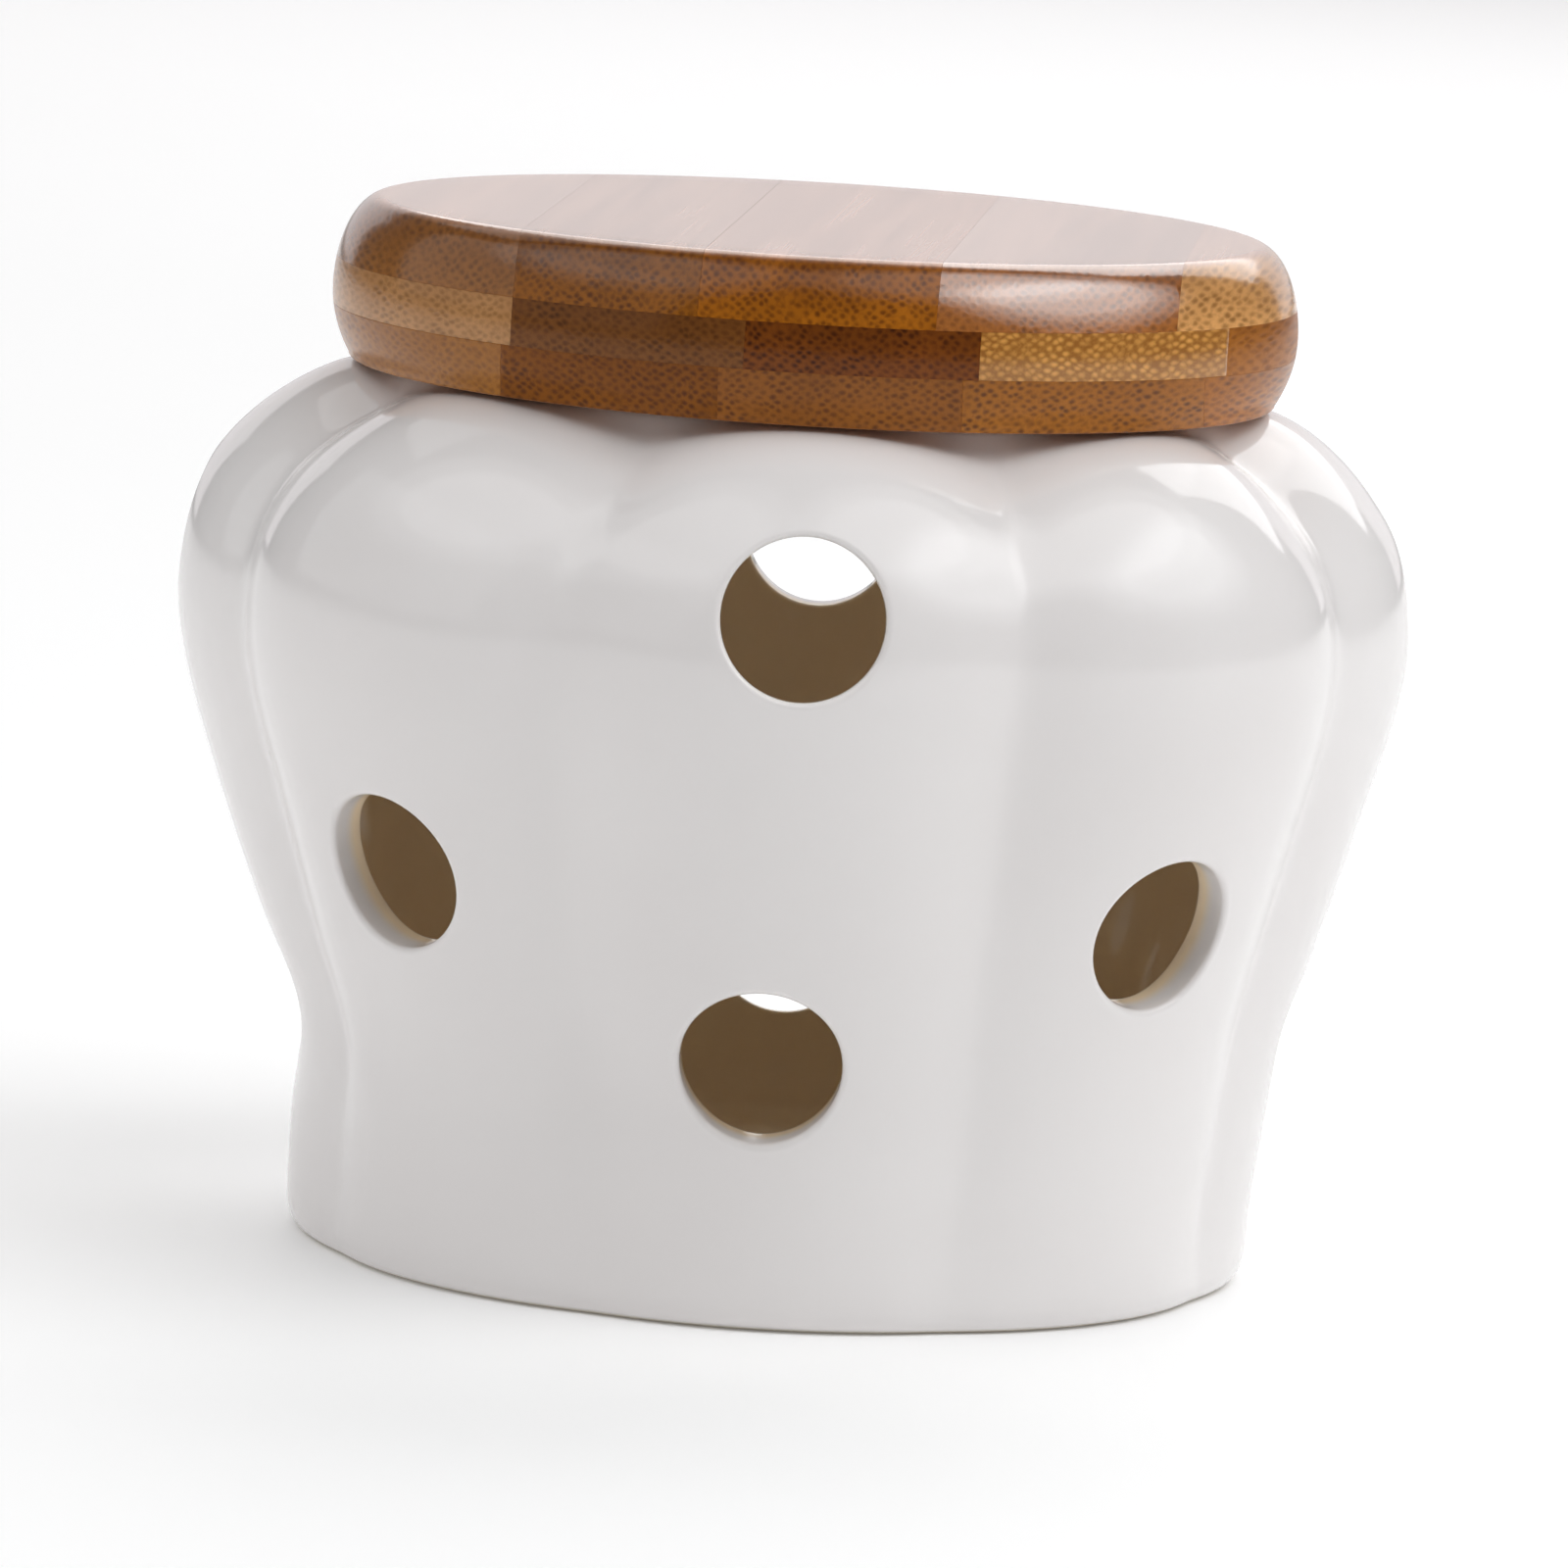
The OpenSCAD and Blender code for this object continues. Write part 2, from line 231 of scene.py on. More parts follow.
class Hole:
    """One punched vent: its axis, and a solver for points of a surface seen along it."""

    def __init__(self, lobe, drift, z):
        self.phi = lobe * 45.0 + drift
        a = math.radians(self.phi)
        rad = np.array([math.sin(a), -math.cos(a), 0.0])
        tan = np.array([math.cos(a), math.sin(a), 0.0])
        lean = VENT_LEAN * crest_lean(z)
        self.axis = rad * math.cos(lean) + np.array([0, 0, -math.sin(lean)])
        self.e1 = tan
        self.e2 = np.cross(self.axis, tan)
        if self.e2[2] < 0:
            self.e2 = -self.e2
        self.c = rad * crest_r(z) + np.array([float(sway(z)), 0, z])
        self.z = z

    def flat(self, pts):
        d = pts - self.c
        return np.stack([d @ self.e1, d @ self.e2], -1)

    def height(self, pts):
        return (pts - self.c) @ self.axis

    def solve(self, curve, ab, uneven):
        """The surface's own coordinates (u, phi) under the plane points ab."""
        ab = np.asarray(ab, float)
        uu = np.interp(self.z, curve.k[:, 1], np.arange(curve.n))
        u = np.full(ab.shape[:-1], uu)
        f = np.full(ab.shape[:-1], self.phi)
        # walk out from the hole's own centre, so that steep places are reached safely
        for s in (0.25, 0.5, 0.75, 1.0, 1.0, 1.0, 1.0, 1.0):
            for _ in range(3):
                p = self.flat(surface(curve, u, f, uneven))
                du = (self.flat(surface(curve, u + 1e-3, f, uneven)) - p) / 1e-3
                df = (self.flat(surface(curve, u, f + 1e-2, uneven)) - p) / 1e-2
                e = ab * s - p
                det = du[..., 0] * df[..., 1] - du[..., 1] * df[..., 0]
                det = np.where(np.abs(det) < 1e-9, 1e-9, det)
                su = (e[..., 0] * df[..., 1] - e[..., 1] * df[..., 0]) / det
                sf = (du[..., 0] * e[..., 1] - du[..., 1] * e[..., 0]) / det
                u = np.clip(u + np.clip(su, -1.0, 1.0), 0.0, curve.n - 1.0)
                f = f + np.clip(sf, -6, 6)
        return u, f


# ---------------------------------------------------------------------------
# mesh helpers
# ---------------------------------------------------------------------------
def new_object(name, verts, faces, smooth=True, attrs=None):
    me = bpy.data.meshes.new(name)
    me.from_pydata([tuple(v) for v in verts], [], faces)
    me.validate(verbose=False)
    me.update()
    if smooth:
        me.polygons.foreach_set("use_smooth", [True] * len(me.polygons))
    for key, values in (attrs or {}).items():
        at = me.attributes.new(key, "FLOAT", "POINT")
        at.data.foreach_set("value", list(values))
    ob = bpy.data.objects.new(name, me)
    bpy.context.scene.collection.objects.link(ob)
    return ob


class Builder:
    def __init__(self):
        self.v, self.f, self.a = [], [], []

    def add(self, pts, tag):
        base = len(self.v)
        pts = np.asarray(pts, float).reshape(-1, 3)
        self.v.extend(pts.tolist())
        tag = np.broadcast_to(tag, (len(pts),))
        self.a.extend(float(t) for t in tag)
        return np.arange(base, base + len(pts))

    def loops(self, a, b, flip=False):
        """Quads between two closed loops of the same length."""
        n = len(a)
        for j in range(n):
            k = (j + 1) % n
            q = [int(a[j]), int(a[k]), int(b[k]), int(b[j])]
            self.f.append(q[::-1] if flip else q)

    def fan(self, loop, centre, flip=False):
        n = len(loop)
        for j in range(n):
            t = [int(loop[j]), int(loop[(j + 1) % n]), int(centre)]
            self.f.append(t[::-1] if flip else t)


COLS = 8 * 56


def lobed_grid(b, curve, step, holes, uneven, tag, lip_r, inside):
    """The lobed surface as a grid, with a round patch left open for each hole.
    Returns the first ring, the last ring and one (thetas, loop) per hole."""
    us = curve.stations(step)
    phis = np.arange(COLS) * 360.0 / COLS
    U, P = np.meshgrid(us, phis, indexing="ij")
    pts = surface(curve, U, P, uneven)
    skip = np.zeros(U.shape, bool)      # vertices inside a patch
    cell = np.zeros(U.shape, bool)      # cells inside a patch, by lower corner
    patches = []
    mid_p = curve.at(us)[0]
    for h in holes:
        need = VENT_R + lip_r + 1.9
        jc = int(round((h.phi % 360.0) / (360.0 / COLS)))
        row = int(np.argmin(np.abs(mid_p[:, 1] - h.z)))
        j0 = jc
        while h.flat(pts[row, j0 % COLS])[0] > -need:
            j0 -= 1
        j1 = jc
        while h.flat(pts[row, j1 % COLS])[0] < need:
            j1 += 1
        i0 = row
        while h.flat(pts[i0, jc % COLS])[1] > -need:
            i0 -= 1
        i1 = row
        while h.flat(pts[i1, jc % COLS])[1] < need:
            i1 += 1
        cols = [(j % COLS) for j in range(j0, j1 + 1)]
        for i in range(i0, i1 + 1):
            for n, j in enumerate(cols):
                if i0 < i < i1 and 0 < n < len(cols) - 1:
                    skip[i, j] = True
                if i < i1 and n < len(cols) - 1:
                    cell[i, j] = True
        patches.append((h, i0, i1, cols))
    ids = np.full(U.shape, -1)
    keep = ~skip
    ids[keep] = b.add(pts[keep], tag)
    ni = len(us)
    for i in range(ni - 1):
        for j in range(COLS):
            if cell[i, j]:
                continue
            k = (j + 1) % COLS
            q = [int(ids[i, j]), int(ids[i, k]), int(ids[i + 1, k]), int(ids[i + 1, j])]
            b.f.append(q[::-1] if inside else q)
    out = []
    for h, i0, i1, cols in patches:
        border = [(i0, j) for j in cols[:-1]] + [(i, cols[-1]) for i in range(i0, i1)]
        border += [(i1, j) for j in cols[:0:-1]] + [(i, cols[0]) for i in range(i1, i0, -1)]
        bid = np.array([ids[i, j] for i, j in border])
        ab = h.flat(np.array([pts[i, j] for i, j in border]))
        out.append((h, bid, ab))
    return ids[0], ids[-1], out


def ring_points(h, curve, ab, uneven):
    u, f = h.solve(curve, ab, uneven)
    return surface(curve, u, f, uneven)


def resample(loop_xy, m):
    """Angles of the border points; m is not used."""
    return np.arctan2(loop_xy[:, 1], loop_xy[:, 0])


def bridge(b, la, aa, lb, ab_, flip):
    """Faces between two closed loops with different counts, matched by angle.
    la, lb are vertex ids ordered anticlockwise with unwrapped angles aa, ab_."""
    na, nb = len(la), len(lb)
    ia = ib = 0
    while ia < na or ib < nb:
        a0, b0 = la[ia % na], lb[ib % nb]
        ta = aa[ia % na] + 2 * math.pi * (ia // na) if ia < na else 1e9
        nxa = aa[(ia + 1) % na] + 2 * math.pi * ((ia + 1) // na) if ia < na else 1e9
        nxb = ab_[(ib + 1) % nb] + 2 * math.pi * ((ib + 1) // nb) if ib < nb else 1e9
        if abs(nxa - nxb) < 1e-6 and ia < na and ib < nb:
            f = [int(a0), int(la[(ia + 1) % na]), int(lb[(ib + 1) % nb]), int(b0)]
            ia += 1
            ib += 1
        elif nxa <= nxb:
            f = [int(a0), int(la[(ia + 1) % na]), int(b0)]
            ia += 1
        else:
            f = [int(a0), int(lb[(ib + 1) % nb]), int(b0)]
            ib += 1
        b.f.append(f[::-1] if flip else f)


def cut_hole(b, h, outer, inner, uneven, tags):
    """Fills the patch round one hole on both surfaces and joins them with its wall."""
    (bid_o, ab_o), (bid_i, ab_i) = outer, inner
    lip_o, lip_i = 0.75, 0.45

    def side(curve, bid, ab, lip, un, tag, rings, theta):
        start = (VENT_R + lip) * np.stack([np.cos(theta), np.sin(theta)], -1)
        loops = [bid]
        for s in rings:
            q = ab * (1 - s) + start * s
            loops.append(b.add(ring_points(h, curve, q, un), tag))
        return loops

    # outer patch: one spoke per border vertex
    th_o = np.unwrap(np.arctan2(ab_o[:, 1], ab_o[:, 0]))
    loops = side(C_OUT, bid_o, ab_o, lip_o, uneven, tags[0], (0.3, 0.56, 0.78, 0.92, 1.0), th_o)
    for p, q in zip(loops, loops[1:]):
        b.loops(p, q)
    edge = loops[-1]
    n = 6
    for k in range(1, n + 1):
        t = math.pi / 2 * k / n
        rho = VENT_R + lip_o * (1 - math.sin(t))
        ab = rho * np.stack([np.cos(th_o), np.sin(th_o)], -1)
        p = ring_points(h, C_OUT, ab, uneven)
        p = p - h.axis * (lip_o * (1 - math.cos(t)))
        nxt = b.add(p, tags[0] + (tags[1] - tags[0]) * 0.0)
        b.loops(edge, nxt)
        edge = nxt
    top_pts = p
    # inner side, on the same spokes
    ab0 = VENT_R * np.stack([np.cos(th_o), np.sin(th_o)], -1)
    low = ring_points(h, C_IN, ab0, 0.0) + h.axis * lip_i
    m = 6
    for k in range(1, m + 1):
        s = k / m
        nxt = b.add(top_pts * (1 - s) + low * s, tags[0] + (tags[2] - tags[0]) * s * s)
        b.loops(edge, nxt)
        edge = nxt
    n = 4
    for k in range(n - 1, -1, -1):
        t = math.pi / 2 * k / n
        rho = VENT_R + lip_i * (1 - math.sin(t))
        ab = rho * np.stack([np.cos(th_o), np.sin(th_o)], -1)
        p = ring_points(h, C_IN, ab, 0.0) + h.axis * (lip_i * (1 - math.cos(t)))
        nxt = b.add(p, tags[3])
        b.loops(edge, nxt)
        edge = nxt
    # inner patch: its own spokes, met by angle
    th_i = np.unwrap(np.arctan2(ab_i[:, 1], ab_i[:, 0]))
    loops = side(C_IN, bid_i, ab_i, lip_i + 0.5, 0.0, tags[3], (0.35, 0.65, 0.86, 1.0), th_i)
    for p, q in zip(loops, loops[1:]):
        b.loops(p, q, flip=True)
    last = loops[-1]
    # line both loops up on one starting angle
    a = np.mod(th_i, 2 * math.pi)
    s = int(np.argmin(a))
    last, a = np.roll(last, -s), np.roll(a, -s)
    c = np.mod(th_o, 2 * math.pi)
    s = int(np.argmin(c))
    edge, c = np.roll(edge, -s), np.roll(c, -s)
    bridge(b, last, a, edge, c, flip=True)


def ring(b, r, z, tag, dx=0.0):
    a = np.radians(np.arange(COLS) * 360.0 / COLS)
    return b.add(np.stack([r * np.sin(a) + dx, -r * np.cos(a), np.full(COLS, z)], -1), tag)


def build_pot():
    b = Builder()
    holes = [Hole(*v) for v in VENTS]
    uneven = 1.0
    first_o, last_o, pat_o = lobed_grid(b, C_OUT, 1.05, holes, uneven, 0.0, 0.75, False)
    first_i, last_i, pat_i = lobed_grid(b, C_IN, 1.5, holes, 0.0, 1.0, 0.95, True)
    for (h, bo, abo), (_, bi, abi) in zip(pat_o, pat_i):
        cut_hole(b, h, (bo, abo), (bi, abi), uneven, (0.0, 0.1, 0.9, 1.0))
    # foot: flat ring, recess, underside
    prev = first_o
    dx = float(sway(0.0))
    for r, z in ((47.0, 0.0), (45.0, 0.0), (43.9, 0.0), (43.45, 0.12), (43.2, 0.4), (43.0, 0.8)):
        nxt = ring(b, r, z, 0.0, dx)
        b.loops(nxt, prev)
        prev = nxt
    for r, z in ((42.6, 1.15), (42.0, 1.35), (41.2, 1.4), (36.0, 1.4), (27.0, 1.4), (16.0, 1.4), (6.0, 1.4)):
        nxt = ring(b, r, z, 0.0, dx)
        b.loops(nxt, prev)
        prev = nxt
    b.fan(prev, b.add([[dx, 0, 1.4]], 0.0)[0], flip=True)
    # rim and neck
    prev = last_o
    prof = [(42.0, 92.6), (40.8, 92.6)]
    for k in range(0, 9):
        t = math.pi / 2 * k / 8
        prof.append((MOUTH_R + MOUTH_LIP - MOUTH_LIP * math.sin(t), POT_H - MOUTH_LIP + MOUTH_LIP * math.cos(t)))
    prof += [(MOUTH_R, 90.6), (MOUTH_R, 90.0)]
    zc = WALL_Z + 82.2
    tags = [0.0] * len(prof)
    for k in range(0, 7):
        t = math.pi / 2 * k / 6
        prof.append((MOUTH_R + 1.2 - 1.2 * math.cos(t), zc + 1.2 - 1.2 * math.sin(t)))
        tags.append(min(1.0, 0.15 + 0.85 * k / 6))
    for (r, z), tg in zip(prof, tags):
        nxt = ring(b, r, z, tg)
        b.loops(prev, nxt)
        prev = nxt
    b.loops(prev, last_i)
    # floor
    prev = first_i
    dx = float(sway(WALL_Z))
    for r in (30.0, 20.0, 11.0, 4.0):
        nxt = ring(b, r, WALL_Z, 1.0, dx)
        b.loops(prev, nxt)
        prev = nxt
    b.fan(prev, b.add([[dx, 0, WALL_Z]], 1.0)[0])
    v = np.array(b.v) * MM
    ob = new_object("pot_glazed", v, b.f, attrs={"glaze_in": b.a})
    return ob


def check_closed(ob):
    bm = bmesh.new()
    bm.from_mesh(ob.data)
    bad = [e for e in bm.edges if len(e.link_faces) != 2]
    vol = bm.calc_volume(signed=True)
    print("mesh", ob.name, "verts", len(bm.verts), "faces", len(bm.faces), "open edges", len(bad), "volume cm3 %.3f" % (vol * 1e6))
    if bad:
        zs = [tuple(round(c * 1000, 1) for c in e.verts[0].co) for e in bad[:6]]
        print("   open near", zs)
    bm.free()


# ---------------------------------------------------------------------------
# lid
# ---------------------------------------------------------------------------
LID_ROLL_H = LID_H - LID_SWELL_Z
LID_EASE = 0.45


def lid_r(z):
    if z < LID_SWELL_Z:
        return LID_R - LID_LOW * ((LID_SWELL_Z - z) / LID_SWELL_Z) ** 2
    return LID_R - LID_ROLL * (1 - math.sqrt(max(0.0, 1 - ((z - LID_SWELL_Z) / LID_ROLL_H) ** 2)))


def lid_profile(z0, z1, n):
    """The lid's edge between two heights above its underside."""
    out = []
    if z0 < 1e-6:                                   # eased lower corner
        for i in range(6):
            a = math.pi / 2 * i / 5
            out.append((lid_r(LID_EASE) - LID_EASE * (1 - math.sin(a)), LID_Z + LID_EASE * (1 - math.cos(a))))
        z0 = LID_EASE
        n0 = 1
    else:
        n0 = 0
    if z1 > LID_H - 1e-6:                           # the roll over to the flat top
        a0 = math.asin((z0 - LID_SWELL_Z) / LID_ROLL_H)
        for i in range(n + 1):
            a = a0 + (math.pi / 2 - a0) * i / n
            out.append((LID_R - LID_ROLL * (1 - math.cos(a)), LID_Z + LID_SWELL_Z + LID_ROLL_H * math.sin(a)))
        return out
    return out + [(lid_r(z0 + (z1 - z0) * i / n), LID_Z + z0 + (z1 - z0) * i / n) for i in range(n0, n + 1)]


def revolve(name, profile, segs, attrs=None):
    """A closed solid of revolution: profile runs from the axis out and back to the axis."""
    bm = bmesh.new()
    rings = []
    for r, z in profile:
        if r < 1e-6:
            rings.append([bm.verts.new((0, 0, z * MM))])
        else:
            rings.append([bm.verts.new((r * MM * math.cos(2 * math.pi * j / segs), r * MM * math.sin(2 * math.pi * j / segs), z * MM)) for j in range(segs)])
    for a, c in zip(rings, rings[1:]):
        for j in range(segs):
            k = (j + 1) % segs
            if len(a) == 1 and len(c) > 1:
                bm.faces.new((a[0], c[k], c[j]))
            elif len(c) == 1 and len(a) > 1:
                bm.faces.new((a[j], a[k], c[0]))
            else:
                bm.faces.new((a[j], a[k], c[k], c[j]))
    bmesh.ops.recalc_face_normals(bm, faces=bm.faces)
    me = bpy.data.meshes.new(name)
    bm.to_mesh(me)
    bm.free()
    ob = bpy.data.objects.new(name, me)
    bpy.context.scene.collection.objects.link(ob)
    return ob


def make_strip(name, ply, index):
    """One bamboo strip: the ply's disc cut along its two glue lines, edges eased a little."""
    z0, z1 = {"bottom": (LID_Z, LID_Z + PLY_BOTTOM), "middle": (LID_Z + PLY_BOTTOM, LID_Z + PLY_BOTTOM + PLY_MIDDLE),
              "top": (LID_Z + PLY_BOTTOM + PLY_MIDDLE, LID_Z + LID_H)}[ply]
    edge = lid_profile(z0 - LID_Z, z1 - LID_Z, {"bottom": 8, "middle": 8, "top": 22}[ply])
    inner = [(0, z0), (22, z0), (40, z0)]
    outer = [(40, z1), (22, z1), (0, z1)]
    ob = revolve(name, inner + edge + outer, 320)
    bm = bmesh.new()
    bm.from_mesh(ob.data)
    c, s = math.cos(STRIP_ANGLE), math.sin(STRIP_ANGLE)
    across = Vector((c, -s, 0))          # square to the glue lines
    x0, x1 = CUTS[ply][index - 1] * MM, CUTS[ply][index] * MM
    for co, no in ((across * x0, -across), (across * x1, across)):
        if abs(co.length) > 0.055:
            continue
        geom = bm.verts[:] + bm.edges[:] + bm.faces[:]
        res = bmesh.ops.bisect_plane(bm, geom=geom, dist=1e-7, plane_co=co, plane_no=no, clear_outer=True, clear_inner=False)
        cut = [g for g in res["geom_cut"] if isinstance(g, bmesh.types.BMEdge)]
        bmesh.ops.holes_fill(bm, edges=cut, sides=0)
    bmesh.ops.remove_doubles(bm, verts=bm.verts, dist=2e-7)
    # ease the arrises
    sharp = [e for e in bm.edges if len(e.link_faces) == 2 and e.calc_face_angle(0) > math.radians(45)]
    bmesh.ops.bevel(bm, geom=sharp, offset=0.035 * MM, offset_type="OFFSET", segments=1, profile=0.5, affect="EDGES", clamp_overlap=True)
    bmesh.ops.recalc_face_normals(bm, faces=bm.faces)
    bm.to_mesh(ob.data)
    bm.free()
    me = ob.data
    me.polygons.foreach_set("use_smooth", [True] * len(me.polygons))
    sharp_by_angle(me, 30)
    return ob


def sharp_by_angle(me, deg):
    bm = bmesh.new()
    bm.from_mesh(me)
    lim = math.radians(deg)
    for e in bm.edges:
        e.smooth = len(e.link_faces) == 2 and e.calc_face_angle(0) < lim
    bm.to_mesh(me)
    bm.free()


# ---------------------------------------------------------------------------
# materials
# ---------------------------------------------------------------------------
def srgb(*c):
    return tuple((x / 12.92 if x <= 0.04045 else ((x + 0.055) / 1.055) ** 2.4) for x in c) + (1.0,)


class Mat:
    def __init__(self, name):
        self.m = bpy.data.materials.new(name)
        self.m.use_nodes = True
        self.t = self.m.node_tree
        self.t.nodes.clear()
        self.out = self.t.nodes.new("ShaderNodeOutputMaterial")
        self.bsdf = self.t.nodes.new("ShaderNodeBsdfPrincipled")
        self.link(self.bsdf.outputs[0], self.out.inputs[0])

    def node(self, kind, **kw):
        n = self.t.nodes.new(kind)
        ins = kw.pop("ins", {})
        for k, v in kw.items():
            setattr(n, k, v)
        for k, v in ins.items():
            if hasattr(v, "is_output"):
                self.link(v, n.inputs[k])
            else:
                n.inputs[k].default_value = v
        return n

    def link(self, a, c):
        self.t.links.new(a, c)

    def set(self, **kw):
        for k, v in kw.items():
            s = self.bsdf.inputs[k.replace("_", " ")]
            if hasattr(v, "is_output"):
                self.link(v, s)
            else:
                s.default_value = v

    def math(self, op, a, c=None, clamp=False):
        n = self.node("ShaderNodeMath", operation=op, use_clamp=clamp)
        for i, v in enumerate((a, c)):
            if v is None:
                continue
            if hasattr(v, "is_output"):
                self.link(v, n.inputs[i])
            else:
                n.inputs[i].default_value = v
        return n.outputs[0]

    def mix(self, fac, a, c, blend="MIX"):
        n = self.node("ShaderNodeMix", data_type="RGBA", blend_type=blend)
        for i, v in ((0, fac), (6, a), (7, c)):
            if hasattr(v, "is_output"):
                self.link(v, n.inputs[i])
            else:
                n.inputs[i].default_value = v
        return n.outputs[2]

    def ramp(self, fac, stops, interp="LINEAR"):
        n = self.node("ShaderNodeValToRGB")
        n.color_ramp.interpolation = interp
        e = n.color_ramp.elements
        while len(e) < len(stops):
            e.new(0.5)
        for i, (p, col) in enumerate(stops):
            e[i].position = p
            e[i].color = col
        self.link(fac, n.inputs[0])
        return n.outputs[0]

    def smooth(self, x, lo, hi):
        n = self.node("ShaderNodeMapRange", interpolation_type="SMOOTHSTEP")
        self.link(x, n.inputs[0])
        n.inputs[1].default_value = lo
        n.inputs[2].default_value = hi
        return n.outputs[0]


def mat_glaze():
    m = Mat("white_glaze")
    tc = m.node("ShaderNodeTexCoord").outputs["Object"]
    inside = m.node("ShaderNodeAttribute", attribute_name="glaze_in").outputs["Fac"]
    cloud = m.node("ShaderNodeTexNoise", ins={"Vector": tc, "Scale": 28.0, "Detail": 2.0}).outputs["Fac"]
    white = m.mix(m.smooth(cloud, 0.3, 0.7), srgb(0.933, 0.918, 0.914), srgb(0.944, 0.931, 0.927))
    brown = m.mix(m.smooth(cloud, 0.3, 0.7), srgb(1.0, 0.921, 0.799), srgb(1.0, 0.930, 0.812))
    body = m.mix(m.smooth(inside, 0.05, 0.60), white, brown)
    # unglazed foot ring
    z = m.node("ShaderNodeSeparateXYZ", ins={"Vector": tc}).outputs["Z"]
    bare = m.math("SUBTRACT", 1.0, m.smooth(z, 0.00025, 0.0006))
    body = m.mix(bare, body, srgb(0.86, 0.83, 0.78))
    rough = m.node("ShaderNodeMapRange", ins={"Value": bare, "To Min": 0.09, "To Max": 0.8}).outputs[0]
    ripple = m.node("ShaderNodeTexNoise", ins={"Vector": tc, "Scale": 70.0, "Detail": 1.0}).outputs["Fac"]
    bump = m.node("ShaderNodeBump", ins={"Strength": 0.35, "Distance": 0.00005, "Height": ripple}).outputs[0]
    m.set(Base_Color=body, Roughness=rough, Normal=bump)
    m.bsdf.inputs["IOR"].default_value = 1.52
    return m.m


